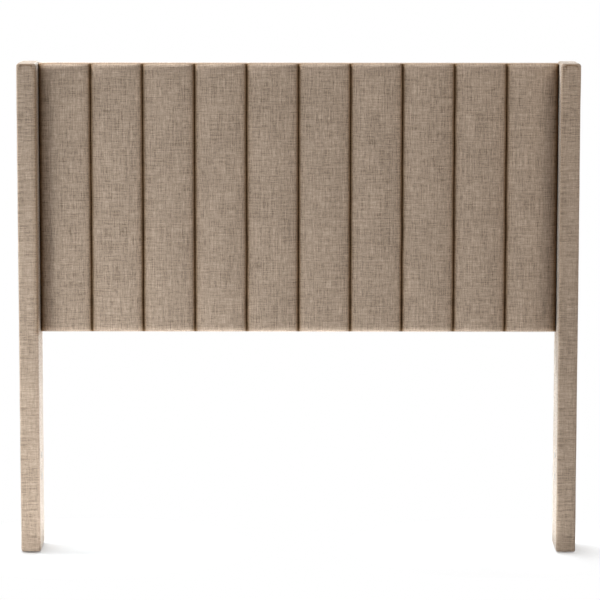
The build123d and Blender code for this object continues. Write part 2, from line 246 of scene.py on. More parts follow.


# %% [markdown]
# ## Linen
#
# The cloth is a taupe linen weave. Upright streaks are a little stronger than level ones on the
# panel, and on the wings the level ones lead, because there the same cloth is cut the other way
# round. One function therefore makes both, with the strength of each set of streaks as its
# arguments. The thread is a product of two sine waves, which rises and falls like an over and
# under weave, and it feeds the bump.
#
# Deep in a groove the two flanks light each other, so the cloth looks browner there than plain
# shade would make it. That shade is painted into the colour: each cover carries a mark that is
# one in a groove or a seam and fades beside it. Where the mark is high, the cloth's colour is
# multiplied by a brown tint of painted shade and its soft sheen is taken away, because little
# stray light gets in there.

# %% Make the linen of the panel and of the wings
thread_pitch = 0.9 * MM
thread_share = 0.10
thread_bump = 0.25 * MM
slub_height = 1.5
nub_size, nub_strength = 1.8 * MM, 0.60
drift_width, drift_length, drift_strength = 90 * MM, 140 * MM, 0.25
linen_dark = (0.172, 0.126, 0.091, 1.0)
linen_pale = (0.540, 0.418, 0.325, 1.0)
# The brown tint of the painted shade in grooves, seams and corners.
painted_shade_tint = (0.46, 0.34, 0.20, 1.0)

# Three kinds of slub: how thick each is, how long, and how strongly it shows.
slub_kinds = (
    (1.0 * MM, 8 * MM, 0.50),
    (2.2 * MM, 26 * MM, 1.05),
    (3.8 * MM, 110 * MM, 0.80),
)


def linen(name, upright, level, sheen, seed):
    """The headboard's linen, with the strength of its upright and of its level streaks."""
    material, tree, shader = new_material(name)
    place = node(tree, "UVMap").outputs[0]
    tone = 0.5
    for number, (thickness, length, strength) in enumerate(slub_kinds):
        up = stretched_noise(tree, place, thickness, length, seed + 3 * number)
        flat = stretched_noise(tree, place, length, thickness, seed + 3 * number + 1)
        tone = with_noise(tree, tone, up, strength * upright)
        tone = with_noise(tree, tone, flat, strength * level)
    nubs = stretched_noise(tree, place, nub_size, nub_size, seed + 10)
    drift = stretched_noise(tree, place, drift_width, drift_length, seed + 12)
    tone = with_noise(tree, tone, nubs, nub_strength)
    tone = with_noise(tree, tone, drift, drift_strength)
    axes = node(tree, "SeparateXYZ", {0: place})
    waves = [
        maths(tree, "SINE", maths(tree, "MULTIPLY", axes.outputs[axis], 2 * math.pi / thread_pitch))
        for axis in (0, 1)
    ]
    weave = maths(tree, "MULTIPLY", waves[0], waves[1])
    tone = maths(tree, "ADD", tone, maths(tree, "MULTIPLY", weave, thread_share))
    colour = node(tree, "MixRGB", {"Fac": tone, "Color1": linen_dark, "Color2": linen_pale})
    # Painted shade: the groove mark multiplies the colour by the brown tint and takes the sheen away.
    groove = node(tree, "Attribute", attribute_name="groove").outputs["Fac"]
    colour = node(tree, "MixRGB", {"Fac": groove, "Color1": colour.outputs[0], "Color2": painted_shade_tint},
                  blend_type="MULTIPLY")
    height = maths(tree, "ADD", weave, maths(tree, "MULTIPLY", tone, slub_height))
    bump = node(tree, "Bump", {"Height": height, "Strength": 0.35, "Distance": thread_bump})
    tree.links.new(colour.outputs[0], shader.inputs["Base Color"])
    tree.links.new(bump.outputs[0], shader.inputs["Normal"])
    shader.inputs["Roughness"].default_value = 0.9
    shader.inputs["Specular IOR Level"].default_value = 0.2
    open_share = maths(tree, "SUBTRACT", 1.0, groove)
    tree.links.new(maths(tree, "MULTIPLY", open_share, sheen), shader.inputs["Sheen Weight"])
    shader.inputs["Sheen Roughness"].default_value = 0.25
    shader.inputs["Sheen Tint"].default_value = (1.0, 0.98, 0.95, 1.0)
    print(name, len(tree.nodes), "nodes")
    return material


panel_linen = linen("panel_linen", 1.0, 0.80, 0.30, 0.0)
wing_linen = linen("wing_linen", 0.62, 0.95, 0.90, 20.0)

# %% [markdown]
# ## Foam, dust cloth, wood, steel and nylon
#
# Upholstery foam is pale and full of small cells, so fine noise drives both its colour and its
# bump. The dust cloth is a black sheet of pressed fibres, with a faint mottle. Timber takes its
# grain from noise that is drawn out along the length of the piece, and hardboard and plywood are
# the same idea with finer, flatter noise. Zinc plated steel has a cloudy roughness, and nylon
# glides are black with faint scuffs.

# %% Make the other finishes
black = (0.012, 0.012, 0.013, 1.0)


def mottled(name, dark, pale, grain, roughness, bump_depth, metallic=0.0, detail=3.0):
    """A finish whose tone and bump follow one noise, whose grain has a size along X, Y and Z."""
    material, tree, shader = new_material(name)
    place = node(tree, "TexCoord").outputs["Object"]
    mapping = node(tree, "Mapping", {"Vector": place, "Scale": [1 / size for size in grain]})
    noise = node(tree, "TexNoise", {"Vector": mapping.outputs[0], "Scale": 1.0, "Detail": detail,
                                    "Roughness": 0.62})
    level = node(tree, "MapRange", {"Value": noise.outputs[0], "From Min": 0.3, "From Max": 0.7})
    colour = node(tree, "MixRGB", {"Fac": level.outputs[0], "Color1": dark, "Color2": pale})
    bump = node(tree, "Bump", {"Height": noise.outputs[0], "Strength": 0.4, "Distance": bump_depth})
    rough = node(tree, "MapRange", {"Value": noise.outputs[0], "To Min": roughness[0],
                                    "To Max": roughness[1]})
    tree.links.new(colour.outputs[0], shader.inputs["Base Color"])
    tree.links.new(bump.outputs[0], shader.inputs["Normal"])
    tree.links.new(rough.outputs[0], shader.inputs["Roughness"])
    shader.inputs["Metallic"].default_value = metallic
    return material


foam = mottled("upholstery_foam", (0.62, 0.52, 0.30, 1), (0.80, 0.71, 0.46, 1),
               (2 * MM, 2 * MM, 2 * MM), (0.85, 0.98), 0.5 * MM)
dust_cloth = mottled("dust_cloth", black, (0.035, 0.034, 0.036, 1),
                     (3 * MM, 3 * MM, 3 * MM), (0.80, 0.95), 0.15 * MM, detail=5.0)
upright_timber = mottled("upright_timber", (0.48, 0.31, 0.16, 1), (0.70, 0.52, 0.32, 1),
                         (6 * MM, 6 * MM, 260 * MM), (0.55, 0.75), 0.2 * MM)
level_timber = mottled("level_timber", (0.48, 0.31, 0.16, 1), (0.70, 0.52, 0.32, 1),
                       (260 * MM, 6 * MM, 6 * MM), (0.55, 0.75), 0.2 * MM)
plywood = mottled("plywood", (0.50, 0.34, 0.18, 1), (0.66, 0.48, 0.29, 1),
                  (180 * MM, 4 * MM, 9 * MM), (0.5, 0.7), 0.1 * MM)
hardboard = mottled("hardboard", (0.13, 0.07, 0.035, 1), (0.22, 0.13, 0.07, 1),
                    (2.5 * MM, 2.5 * MM, 2.5 * MM), (0.4, 0.6), 0.08 * MM)
zinc = mottled("zinc_plate", (0.38, 0.38, 0.375, 1), (0.54, 0.54, 0.53, 1),
               (5 * MM, 5 * MM, 5 * MM), (0.45, 0.60), 0.02 * MM, metallic=1.0)
nylon = mottled("black_nylon", black, (0.03, 0.03, 0.032, 1),
                (4 * MM, 4 * MM, 1.5 * MM), (0.38, 0.6), 0.05 * MM)
print(len(bpy.data.materials), "materials")

# %% [markdown]
# ## The camera
#
# The view is straight on from about nine metres and from half a metre above the top of the
# headboard, so a thin strip of each top face shows. Such a long view needs a long lens. The place
# of the camera is measured from the front of the wings.

# %% Place the camera
camera_far = 9.0
camera_right = 0.006
camera_height = 1.925
camera_down = math.radians(7.377)
camera_turn = math.radians(0.014)
camera_roll = math.radians(-0.043)
camera_lens = 184.72
sensor_width = 36.0
sees_to = 60.0
bpy.ops.object.camera_add(
    location=(camera_right, cad_low.y - camera_far, camera_height),
    rotation=(math.pi / 2 - camera_down, camera_roll, camera_turn),
)
camera = bpy.context.object
camera.name = "front_camera"
camera.data.sensor_width = sensor_width
camera.data.lens = camera_lens
camera.data.clip_end = sees_to
bpy.context.scene.camera = camera
print("camera at", tuple(camera.location))

# %% [markdown]
# ## One channel
#
# Each channel is a strip of foam under the cloth, so its section is a shallow crown that turns
# down in a rounder curve at both sides, where the cloth is pulled into the seam. Its top and
# bottom ends round off the same way.
#
# A flat plane is enough to start with. It is sliced into columns and rows, close together where
# the form turns and further apart where it is nearly flat. Then each column is pushed forward to
# its place on the crown, and each row near an end is scaled back towards the seam. Working from a
# flat sheet in this way keeps the mesh in even quads, which the cloth simulation needs later.

# %% The section of a channel
round_steps = 7
end_round = 19 * MM
crown_reach = ((channel_width / 2 - side_round) ** 2 + crown_rise**2) / (2 * crown_rise)
crown_starts = side_round - side_round * (channel_width / 2 - side_round) / crown_reach


def rise(distance, slack):
    """How far the form stands in front of the seam, at a distance from the nearest groove.
    With some slack it is the form that lies that far inside the cover."""
    if distance < crown_starts:
        return math.sqrt(max((side_round - slack) ** 2 - (side_round - distance) ** 2, 0.0))
    crown_radius = crown_reach + side_round - slack
    across = channel_width / 2 - distance
    return math.sqrt(crown_radius**2 - across**2) - (crown_reach - crown_rise)


def turning_places(radius, steps):
    """Distances from an edge at which a quarter round has turned by even steps."""
    return [radius * (1 - math.cos(math.pi / 2 * step / steps)) for step in range(1, steps + 1)]


def even_places(low, high, largest):
    """Even places strictly between two ends, no further apart than the largest step."""
    count = math.ceil((high - low) / largest)
    return [low + (high - low) * step / count for step in range(1, count)]


print("crown of", round(crown_reach + side_round, 3), "m starts at", round(crown_starts, 4))

# %% Slice a flat strip, push it forward and round off its ends
cover_step = 9 * MM


def channel_front(name, slack, largest):
    """The front of the first channel, as a sheet of even quads whose border is in one plane."""
    width, height = channel_width - 2 * slack, panel_height - 2 * slack
    left, foot = panel_low.x + slack, panel_low.z + slack

    def from_an_end(co):
        """Distance of a point from the nearer end."""
        return min(abs(co.z - foot), abs(foot + height - co.z))

    bpy.ops.mesh.primitive_plane_add(size=1, rotation=(math.pi / 2, 0, 0))
    front = bpy.context.object
    front.scale = (width, height, 1)
    front.location = (left + width / 2, seam_y, panel_middle_z)
    front = named(name)
    side_steps = turning_places(side_round - slack, round_steps)
    end_steps = turning_places(end_round - slack, round_steps)
    columns = side_steps + even_places(side_steps[-1], width - side_steps[-1], largest)
    columns += [width - step for step in side_steps]
    rows = end_steps + even_places(end_steps[-1], height - end_steps[-1], largest)
    rows += [height - step for step in end_steps]
    slice_at(front, [left + step for step in columns], (1, 0, 0))
    slice_at(front, [foot + step for step in rows], (0, 0, 1))
    for step in columns:
        pick(front, "VERT", lambda co: abs(co.x - left - step) < NEAR)
        forward = rise(min(step, width - step) + slack, slack)
        bpy.ops.transform.translate(value=(0, -forward, 0))
    for step in end_steps:
        kept = math.sqrt(1 - (1 - step / end_steps[-1]) ** 2)
        pick(front, "VERT", lambda co: abs(from_an_end(co) - step) < NEAR)
        bpy.ops.transform.resize(value=(1, kept, 1), center_override=(0, seam_y, 0))
    pick(front, "VERT", lambda co: from_an_end(co) < NEAR)
    bpy.ops.transform.resize(value=(1, 0, 1), center_override=(0, seam_y, 0))
    bpy.ops.object.mode_set(mode="OBJECT")
    print(name, len(columns) + 1, "columns,", len(rows) + 1, "rows")
    return front


sheet = channel_front("panel_cover_sheet", 0.0, cover_step)

# %% [markdown]
# ## Ten channels in one sheet
#
# The real cover is one sewn piece, so the channel is repeated with an array whose neighbours are
# welded at the grooves. The border of that sheet lies in one plane, at the seam. From there the
# cover goes on as a flat band: first a narrow tuck for the seam itself, then back over the
# frame's edge, round its back corner, and in over the back as a hem.

# %% Repeat the channel and add the seam, the band and the hem
apply_modifier(sheet, "ARRAY", count=channel_count, use_relative_offset=False,
               use_constant_offset=True, constant_offset_displace=(channel_width, 0, 0),
               use_merge_vertices=True, merge_threshold=NEAR)

seam_depth = 1.6 * MM
seam_gap = 1.6 * MM
band_step = 16 * MM
back_round = 3 * MM
back_steps = 4
hem_width = 34 * MM
hem_gap = 0.1 * MM
hem_y = dust_low.y - hem_gap


def on_border(a, b, low, high):
    """Whether an edge lies on the outer border of a front that fills a box."""
    return any(
        abs(a[axis] - side[axis]) < NEAR and abs(b[axis] - side[axis]) < NEAR
        for axis in (0, 2) for side in (low, high)
    )


def drawn_in(inset):
    """The scale that draws the panel's border in all round by an inset."""
    return (1 - 2 * inset / panel_width, 1, 1 - 2 * inset / panel_height)


def extend(back, inset_change, inset_now):
    """Extrudes the picked border back, and draws it in or lets it out."""
    bpy.ops.mesh.extrude_edges_move(TRANSFORM_OT_translate={"value": (0, back, 0)})
    before, after = drawn_in(inset_now - inset_change), drawn_in(inset_now)
    bpy.ops.transform.resize(
        value=[after[axis] / before[axis] for axis in range(3)],
        center_override=(0, seam_y, panel_middle_z),
    )


pick(sheet, "EDGE", lambda a, b: on_border(a, b, panel_low, panel_high))
extend(seam_gap / 2, seam_depth, seam_depth)
extend(seam_gap / 2, -seam_depth, 0)
reached = seam_y + seam_gap
band_end = hem_y - back_round
for y in even_places(reached, band_end, band_step) + [band_end]:
    extend(y - reached, 0, 0)
    reached = y
turned = 0.0
for step in range(1, back_steps + 1):
    angle = math.pi / 2 * step / back_steps
    inset = back_round * (1 - math.cos(angle))
    y = band_end + back_round * math.sin(angle)
    extend(y - reached, inset - turned, inset)
    turned, reached = inset, y
for inset in (hem_width / 2, hem_width):
    extend(0, inset - turned, inset)
    turned = inset
bpy.ops.object.mode_set(mode="OBJECT")
print("sheet with band and hem:", len(sheet.data.polygons), "faces")

# %% [markdown]
# ## Swelling the channels
#
# Cloth over foam is never as even as a drawn section. A short cloth simulation gives it the
# small faults of the real thing: the sheet is held at its seams and grooves, and a light pressure
# from behind swells it. First the sheet is made a little uneven with two soft displacements, one
# forward and one sideways, so the grooves wander by about a millimetre and no two channels swell
# alike. Of the simulation only the forward move is kept, scaled so that the fullest place swells
# by a millimetre and a half, because the cloth may not sink into the foam.
#
# The painted shade for the cloth's colour is written here too. It is one in every groove, and fades
# fast at first and then slowly up the flanks, more so in the two outer grooves, which the wings
# shade.
# It is also one along the seam at the top, and fades over the band behind that.

# %% Make the sheet uneven
groove_wander, groove_cloud = 2.2 * MM, 0.10
surface_wander, surface_cloud = 2.0 * MM, 0.14
still_at_ends = 40 * MM
still_at_sides = 30 * MM
# Reach and strength of the painted shade in the grooves, up the flanks, beside the wings and at the
# seam.
groove_reach = 5.5 * MM
flank_shade, flank_reach = 0.22, 15 * MM
wing_shade, wing_shade_reach = 0.80, 17 * MM
seam_edge = 1.5 * MM
seam_reach = 22 * MM


def cloud(name, size):
    """A soft cloud pattern for a displacement."""
    pattern = bpy.data.textures.new(name, "CLOUDS")
    pattern.noise_scale = size
    pattern.noise_depth = 1
    return pattern


swell_cloud, wander_cloud = cloud("swell", surface_cloud), cloud("wander", groove_cloud)


def make_uneven(piece):
    """Moves a piece's front forward and sideways by the two clouds, and less near the border."""
    group = piece.vertex_groups.new(name="free")
    for vertex in piece.data.vertices:
        to_end = min(abs(vertex.co.z - panel_low.z), abs(panel_high.z - vertex.co.z))
        to_side = min(abs(vertex.co.x - panel_low.x), abs(panel_high.x - vertex.co.x))
        share = min(1.0, to_end / still_at_ends) * min(1.0, to_side / still_at_sides)
        if vertex.co.y < seam_y + NEAR:
            group.add([vertex.index], share, "REPLACE")
    for pattern, direction, strength in (
        (swell_cloud, "Y", surface_wander), (wander_cloud, "X", groove_wander),
    ):
        apply_modifier(piece, "DISPLACE", texture=pattern, direction=direction, strength=strength,
                       texture_coords="LOCAL", mid_level=0.5, vertex_group="free")


def paint_groove_shade(piece):
    """Writes the painted shade at each point, high near a groove or the seam, for the cloth's colour
    to read.
    """
    near = piece.data.attributes.new("groove", "FLOAT", "POINT")
    for vertex, mark in zip(piece.data.vertices, near.data):
        along = (vertex.co.x - panel_low.x) / channel_width
        away = abs(along - round(along)) * channel_width
        by_a_wing = round(along) in (0, channel_count)
        shade, reach = (wing_shade, wing_shade_reach) if by_a_wing else (flank_shade, flank_reach)
        if vertex.co.y < seam_y + NEAR:
            mark.value = min(1.0, bell(away, groove_reach) + shade * bell(away, reach)
                             + bell(panel_high.z - vertex.co.z, seam_edge))
        if vertex.co.y > seam_y - NEAR:
            mark.value = bell(vertex.co.y - seam_y, seam_reach)


paint_groove_shade(sheet)
make_uneven(sheet)
print("wander of", groove_wander, "m sideways and", surface_wander, "m forward")

# %% Swell it with a short cloth simulation
held_depth = 6 * MM
swelling_cap = 1.5 * MM


def puff(piece, held, pressure, frames, cap):
    """Cloth simulation with pressure, whose forward swelling is baked into the mesh."""
    start = [vertex.co.copy() for vertex in piece.data.vertices]
    pins = piece.vertex_groups.new(name="held")
    pins.add([v.index for v in piece.data.vertices if held(v.co)], 1.0, "REPLACE")
    show_only(piece)
    cloth = piece.modifiers.new("cloth", "CLOTH")
    cloth.settings.quality = 4
    cloth.settings.mass = 0.3
    cloth.settings.tension_stiffness = 12
    cloth.settings.compression_stiffness = 12
    cloth.settings.shear_stiffness = 6
    cloth.settings.bending_stiffness = 1.5
    cloth.settings.vertex_group_mass = "held"
    cloth.settings.use_pressure = True
    cloth.settings.uniform_pressure_force = pressure
    cloth.settings.effector_weights.gravity = 0.0
    cloth.collision_settings.use_collision = False
    cloth.point_cache.frame_start = 1
    cloth.point_cache.frame_end = frames
    scene = bpy.context.scene
    for number in range(1, frames + 1):
        scene.frame_set(number)
    bpy.ops.object.modifier_apply(modifier=cloth.name)
    scene.frame_set(1)
    swelling = [first.y - vertex.co.y for vertex, first in zip(piece.data.vertices, start)]
    share = min(1.0, cap / max(swelling))
    for vertex, first, forward in zip(piece.data.vertices, start, swelling):
        vertex.co = first
        vertex.co.y -= share * max(forward, 0.0)
    fullest = round(max(swelling) / MM, 2)
    print("swelled by up to", fullest, "mm, of which a share of", round(share, 2), "is kept")


puff(sheet, held=lambda co: co.y > seam_y - held_depth, pressure=3.0, frames=16,
     cap=swelling_cap)

# %% [markdown]
# ## A map for the threads, and the cloth's thickness
#
# The weave needs to know which way the cloth runs. A cube projection lays the front, the bands
# and the hem flat, each from its own side, with one unit to a metre. Then the sheet gets the
# thickness of upholstery linen, on its inner side, so the outside keeps its place.

# %% Finish the panel's cover
cloth_thickness = 1.4 * MM


def map_cloth(piece):
    """Lays a piece flat from its six sides, one unit to a metre."""
    pick_all(piece)
    bpy.ops.uv.cube_project(cube_size=1.0, correct_aspect=False, scale_to_bounds=False)
    bpy.ops.object.mode_set(mode="OBJECT")


map_cloth(sheet)
apply_modifier(sheet, "SOLIDIFY", thickness=cloth_thickness, offset=-1.0, use_even_offset=False)
smooth(sheet)
hand_over(sheet, panel_linen, "linen", "panel_cover")

# %% [markdown]
# ## The foam under the cover
#
# Each channel holds its own strip of foam. It is never seen with the cover on, but it is there on
# the bench, so it is made too. It comes from the same function as the cover's front, a little
# inside it, so the cover fits it as it does on the real thing. Its border is drawn back to the
# board and closed with one face. The strips are copies of the first, each with a mesh of its own,
# and each is then made uneven by the same clouds as the cover, in its own place.

# %% Make the first strip of foam and copy it
foam_slack = 1.8 * MM
foam_step = 18 * MM
strip = channel_front("foam_strip_01", foam_slack, foam_step)
strip_low = Vector((panel_low.x + foam_slack, 0, panel_low.z + foam_slack))
strip_high = Vector((panel_low.x + channel_width - foam_slack, 0, panel_high.z - foam_slack))
pick(strip, "EDGE", lambda a, b: on_border(a, b, strip_low, strip_high))
bpy.ops.mesh.extrude_edges_move(TRANSFORM_OT_translate={"value": (0, pad_back_y - seam_y, 0)})
bpy.ops.mesh.edge_face_add()
pick_all(strip)
bpy.ops.mesh.normals_make_consistent(inside=False)
bpy.ops.object.mode_set(mode="OBJECT")
strips = [strip]
for number in range(1, channel_count):
    copy = strip.copy()
    copy.data = strip.data.copy()
    copy.name = copy.data.name = f"foam_strip_{number + 1:02d}"
    bpy.context.scene.collection.objects.link(copy)
    show_only(copy)
    copy.location.x = number * channel_width
    bpy.ops.object.transform_apply(location=True)
    strips.append(copy)
for number, piece in enumerate(strips, start=1):
    make_uneven(piece)
    smooth(piece, crease_degrees=40)
    hand_over(piece, foam, "foam", f"channel_pad_{number:02d}")

# %% [markdown]
# ## The wings
#
# A wing is a flat box of timber in a thin wrap of foam, dressed in a tight cover. A cube with
# bevelled edges gives the form: first its two upper corners are rounded, and then the whole
# outline of its front and of its back. It is sliced into short lengths, so that it can be pressed
# and displaced afterwards.
#
# The cover is closed at the top by a seam. It runs along the front edge, turns down the inner
# edge and fades out after a few centimetres. Here the faces near that line are subdivided, and
# the points close to it are pressed in, so the seam is a real fold that holds its own shadow.

# %% The path of a wing's seam
top_round = 9 * MM
wing_front_round = 7 * MM
wing_back_round = 4 * MM
foot_round = 5 * MM
top_steps, edge_steps, foot_steps = 6, 5, 4
seam_from_side = 8 * MM
seam_from_top = 5.5 * MM
seam_corner = 10 * MM
inner_seam_reach = 75 * MM
outer_seam_reach = 30 * MM
seam_fade_power = 1.3
wing_seam_deep = 2.0 * MM
wing_seam_wide = 1.1 * MM


def seam_distance(co, low, high):
    """Distance of a point on the front from a rounded rectangle just inside the front's edges."""
    middle_x = (low.x + high.x) / 2
    half_width = (high.x - low.x) / 2 - seam_from_side
    top = high.z - seam_from_top
    across = max(abs(co.x - middle_x) - (half_width - seam_corner), 0.0)
    up = max(co.z - (top - seam_corner), 0.0)
    if across > 0 and up > 0:
        return abs(math.hypot(across, up) - seam_corner)
    return min(abs(across - seam_corner), abs(up - seam_corner))


def seam_share(co, low, high):
    """How deep the seam is at a height: full at the top and fading downwards."""
    inner = abs(co.x) < abs(low.x + high.x) / 2
    reach = inner_seam_reach if inner else outer_seam_reach
    return max(0.0, 1 - (high.z - co.z) / reach) ** seam_fade_power


# %% Make one wing's cover
wing_step = 16 * MM
wing_front_step = 12 * MM
fine_down_to = 90 * MM
fine_beside_seam = 14 * MM
fine_cuts = 7

# A point that lies no further back than this still belongs to the front.
front_depth = 2 * MM


def bevel_edges(piece, wanted, offset, segments):
    """Rounds the edges that `wanted` says yes to."""
    pick(piece, "EDGE", wanted)
    bpy.ops.mesh.bevel(offset=offset, segments=segments)


def press_seam(cover, low, high):
    """Presses the points of the front in along the seam, and counts them."""
    pressed = 0
    for vertex in cover.data.vertices:
        if vertex.co.y < low.y + front_depth:
            near_seam = bell(seam_distance(vertex.co, low, high), wing_seam_wide)
            depth = wing_seam_deep * seam_share(vertex.co, low, high) * near_seam
            vertex.co.y += depth
            pressed += depth > NEAR
    return pressed


def wing_cover(side_name):
    """A wing's cover: a rounded box with its seam pressed in and its foot left open."""
    low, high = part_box(f"{side_name}_wing_cover")
    bpy.ops.mesh.primitive_cube_add(size=1, location=(low + high) / 2, scale=high - low)
    cover = named(f"{side_name}_wing_linen")
    bevel_edges(cover, lambda a, b: min(a.z, b.z) > high.z - NEAR and abs(a.y - b.y) > NEAR,
                top_round, top_steps)
    for y, radius in ((low.y, wing_front_round), (high.y, wing_back_round)):
        bevel_edges(cover, lambda a, b: max(abs(a.y - y), abs(b.y - y)) < NEAR
                    and a.z + b.z > 2 * low.z + NEAR, radius, edge_steps)
    bevel_edges(cover, lambda a, b: max(a.z, b.z) < low.z + NEAR, foot_round, foot_steps)
    for starts, ends, largest, direction in (
        (low.z + foot_round, high.z - top_round, wing_step, (0, 0, 1)),
        (low.y + wing_front_round, high.y - wing_back_round, wing_step, (0, 1, 0)),
        (low.x + wing_front_round, high.x - wing_front_round, wing_front_step, (1, 0, 0)),
    ):
        slice_at(cover, even_places(starts, ends, largest), direction)
    pick(cover, "FACE", lambda co, normal: normal.y < -0.9 and high.z - co.z < fine_down_to
         and seam_distance(co, low, high) < fine_beside_seam)
    bpy.ops.mesh.subdivide(number_cuts=fine_cuts)
    bpy.ops.mesh.subdivide(number_cuts=1)
    pick(cover, "FACE", lambda co, normal: normal.z < -0.999 and co.z < low.z + NEAR)
    bpy.ops.mesh.delete(type="FACE")
    bpy.ops.object.mode_set(mode="OBJECT")
    print(cover.name, press_seam(cover, low, high), "points pressed in along the seam")
    return cover


# %% [markdown]
# ## Holes for the bed's bolts
#
# Two threaded inserts sit in the inner side of each leg, for the bolts of a bed frame. The cover
# has a punched hole over each, a little wider than the thread, cut with a boolean once the cloth
# has its thickness.
#
# The wings take the same painted shade in their colour: along their seam, and in the corner between
# the wing and the panel. It is stronger on the left wing, whose inner side has its back to the light.

# %% Finish both wings
punched_radius = 5.5 * MM
punch_length = 24 * MM
wing_swell, wing_cloud = 1.2 * MM, 0.11
# How wide and how strong the painted shade is along the seam and in the corner by the panel.
wing_mark_wide = 1.6 * MM
corner_reach = 7 * MM
corner_fade = 8 * MM
corner_shade = {"left": 0.70, "right": 0.25}


def punch(cover, centre):
    """Cuts a round hole through the cloth, along X."""
    bpy.ops.mesh.primitive_cylinder_add(vertices=32, radius=punched_radius, depth=punch_length,
                                        location=centre, rotation=(0, math.pi / 2, 0))
    cutter = bpy.context.object
    apply_modifier(cover, "BOOLEAN", object=cutter, operation="DIFFERENCE", solver="EXACT")
    bpy.data.objects.remove(cutter)


def paint_wing_shade(cover, side_name):
    """Writes the painted shade at each point, near the panel's corner or the seam, for the colour to
    read.
    """
    low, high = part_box(f"{side_name}_wing_cover")
    inner_x = min(abs(low.x), abs(high.x))
    near = cover.data.attributes.new("groove", "FLOAT", "POINT")
    for vertex, mark in zip(cover.data.vertices, near.data):
        away = abs(vertex.co.x) - inner_x
        from_end = min(panel_high.z - vertex.co.z, vertex.co.z - panel_low.z)
        if vertex.co.y < seam_y and from_end > 0:
            share = corner_shade[side_name] * min(1.0, from_end / corner_fade)
            mark.value = share * bell(away, corner_reach)
        if vertex.co.y < low.y + 2 * wing_seam_deep:
            near_seam = bell(seam_distance(vertex.co, low, high), wing_mark_wide)
            mark.value = max(mark.value, seam_share(vertex.co, low, high) * near_seam)


for side_name in ("left", "right"):
    cover = wing_cover(side_name)
    map_cloth(cover)
    apply_modifier(cover, "DISPLACE", texture=cloud(f"{side_name}_wing_swell", wing_cloud),
                   direction="NORMAL", texture_coords="LOCAL", strength=wing_swell, mid_level=0.6)
    apply_modifier(cover, "SOLIDIFY", thickness=cloth_thickness, offset=-1.0, use_even_offset=False)
    insert_low, insert_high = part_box(f"{side_name}_bed_inserts")
    flange = (insert_high.y - insert_low.y) / 2
    face_x = insert_high.x if insert_low.x < 0 else insert_low.x
    for z in (insert_low.z + flange, insert_high.z - flange):
        punch(cover, (face_x, (insert_low.y + insert_high.y) / 2, z))
    paint_wing_shade(cover, side_name)
    smooth(cover)
    hand_over(cover, wing_linen, "linen", f"{side_name}_wing_cover", f"{side_name}_wing_foam")

# %% [markdown]
# ## The dust cover
#
# A thin black cloth closes the back of the panel. It is stapled round its edge and otherwise
# spans the frame's windows freely, so it sags inwards here and there by part of a millimetre.

# %% Make the dust cover
dust_size = dust_high - dust_low
dust_inset = 0.15 * MM
dust_thickness = 0.25 * MM
dust_sag, dust_cloud = 0.5 * MM, 0.06
cells_across, cells_up = 90, 46
bpy.ops.mesh.primitive_grid_add(x_subdivisions=cells_across, y_subdivisions=cells_up, size=1,
                                rotation=(-math.pi / 2, 0, 0))
dust = bpy.context.object
dust.scale = (dust_size.x, dust_size.z, 1)
dust.location = (0, dust_high.y - dust_inset, panel_middle_z)
dust = named("dust_cloth_sheet")
map_cloth(dust)
apply_modifier(dust, "DISPLACE", texture=cloud("dust_ripple", dust_cloud), direction="Y",
               texture_coords="LOCAL", strength=dust_sag, mid_level=1.0)
apply_modifier(dust, "SOLIDIFY", thickness=dust_thickness, offset=-1.0)
smooth(dust)
hand_over(dust, dust_cloth, "dust_cloth", "dust_cover")

# %% [markdown]
# ## Finishes for the pieces that stay as they are
#
# The timber, the boards, the steel and the glides keep their shape from the frame. Only their
# material is changed. A piece's name says what it is made of, so a short list of name parts and
# finishes dresses them all.

# %% Dress the nodes that stay
finish_of = (
    ("post", upright_timber), ("stile", upright_timber), ("rail", level_timber),
    ("rungs", level_timber), ("panel_board", plywood), ("skin", hardboard),
    ("glides", nylon), ("plates", zinc), ("screws", zinc), ("inserts", zinc), ("staples", zinc),
)
for name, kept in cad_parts.items():
    if kept.hide_render:
        continue
    material = next(finish for part, finish in finish_of if part in name)
    for material_slot in kept.material_slots:
        material_slot.material = material
    print(name, "is", material.name)

# %% [markdown]
# ## The floor and the light
#
# The headboard stands on a white floor that runs out of sight into a white room. The floor has to
# be white in the picture and still hold the soft shadows of the feet. So it is a plain pale surface
# where those shadows fall, and from a hand's width away it changes over to plain white. Towards the
# right it has a slight glow from the start, because the right foot's shadow is as faint as the left
# one's, in less light. Only the camera and reflections see the white and the glow, so they light
# nothing. For all other light the floor is a paler surface, which throws more of it back. The room
# too is white for the camera and in reflections, and gives a faint soft light to everything else.
#
# The light comes as in a photographer's studio, from several soft lamps. Two high ones, at the left
# and behind, give the top edges their pale line, and the left one throws the feet's shadows to the
# right and forward. Low ones at the left make the left leg paler towards its foot. Weaker ones from
# above the front and from the right fill the shade, and one behind at the right lights the back.
# Two small ones stand low behind the panel, one for the inner side of each leg, and one lies on the
# floor under the panel, in place of the light that a bright studio floor throws back up.

# %% Make the floor
foot_low, foot_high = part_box("right_wing_cover")
foot_x = (foot_low.x + foot_high.x) / 2
shadow_inside = 0.18
shadow_x = foot_x - shadow_inside
shadow_half = 0.04
white_begins, white_from = 0.10, 0.45
right_glow = 0.24
floor_to_light = (0.86, 0.86, 0.86, 1)
floor_to_camera = (0.615, 0.615, 0.625, 1)
floor_size = 40.0
bpy.ops.mesh.primitive_plane_add(size=floor_size, location=(0, 0, 0))
floor = named("studio_floor")
floor_material, floor_tree, floor_shader = new_material("white_floor")
floor_shader.inputs["Roughness"].default_value = 0.9
floor_shader.inputs["Emission Color"].default_value = (1, 1, 1, 1)
floor_place = node(floor_tree, "TexCoord").outputs["Object"]
floor_axes = node(floor_tree, "SeparateXYZ", {0: floor_place})
beside = maths(floor_tree, "SUBTRACT", maths(floor_tree, "ABSOLUTE", floor_axes.outputs[0]), shadow_x)
